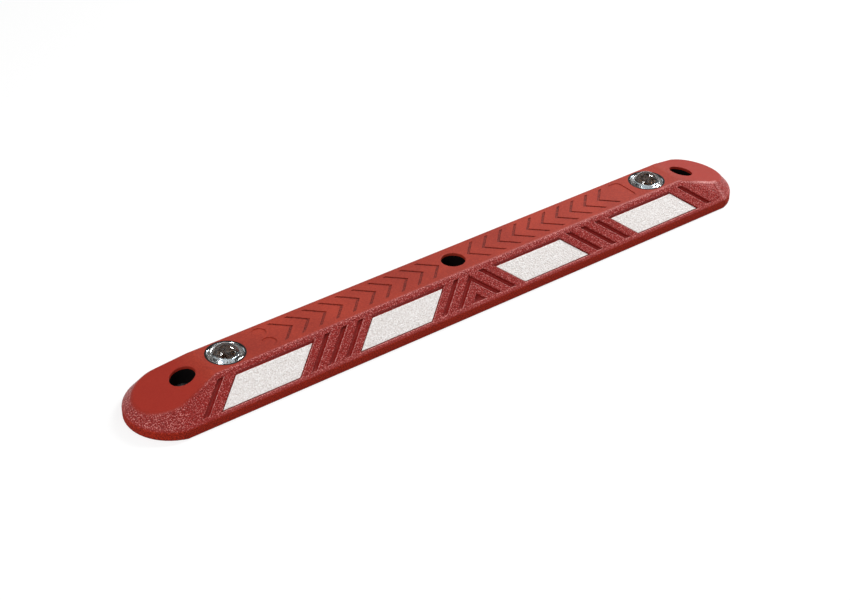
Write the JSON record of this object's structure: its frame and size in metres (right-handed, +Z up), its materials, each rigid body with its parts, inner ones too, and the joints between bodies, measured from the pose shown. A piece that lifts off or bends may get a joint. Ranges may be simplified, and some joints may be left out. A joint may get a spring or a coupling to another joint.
{
  "type": "lane divider",
  "caption": "Low bevelled rubber lane divider with ramped round ends, slanting grooves, white reflector panels on both long sides, glass road studs and recessed bolt holes.",
  "frame": {"origin": "middle of the base, on the road surface", "axes": "+X along the kerb, +Y across it, +Z up from the road"},
  "size_m": [0.96, 0.12, 0.062],
  "materials": {
    "moulded_rubber": "moulded, matte",
    "beaded_film": "pebbled",
    "bonding_bed": "matte",
    "toughened_glass": "fire polished",
    "mirror_coat": "vacuum coated",
    "black_cup": "moulded",
    "black_sleeve": "moulded",
    "zinc_steel": "zinc plated"
  },
  "bodies": {
    "root": {"body": "moulded_rubber", "panel_front_1": "beaded_film", "panel_bed_front_1": "bonding_bed", "panel_front_2": "beaded_film", "panel_bed_front_2": "bonding_bed", "panel_front_3": "beaded_film", "panel_bed_front_3": "bonding_bed", "panel_front_4": "beaded_film", "panel_bed_front_4": "bonding_bed", "panel_rear_1": "beaded_film", "panel_bed_rear_1": "bonding_bed", "panel_rear_2": "beaded_film", "panel_bed_rear_2": "bonding_bed", "panel_rear_3": "beaded_film", "panel_bed_rear_3": "bonding_bed", "panel_rear_4": "beaded_film", "panel_bed_rear_4": "bonding_bed", "stud_glass_left": "toughened_glass", "stud_mirror_left": "mirror_coat", "stud_cup_left": "black_cup", "stud_glass_right": "toughened_glass", "stud_mirror_right": "mirror_coat", "stud_cup_right": "black_cup", "hole_liner_left": "black_sleeve", "seat_washer_left": "zinc_steel", "hole_liner_centre": "black_sleeve", "seat_washer_centre": "zinc_steel", "hole_liner_right": "black_sleeve", "seat_washer_right": "zinc_steel"}
  },
  "joints": []
}
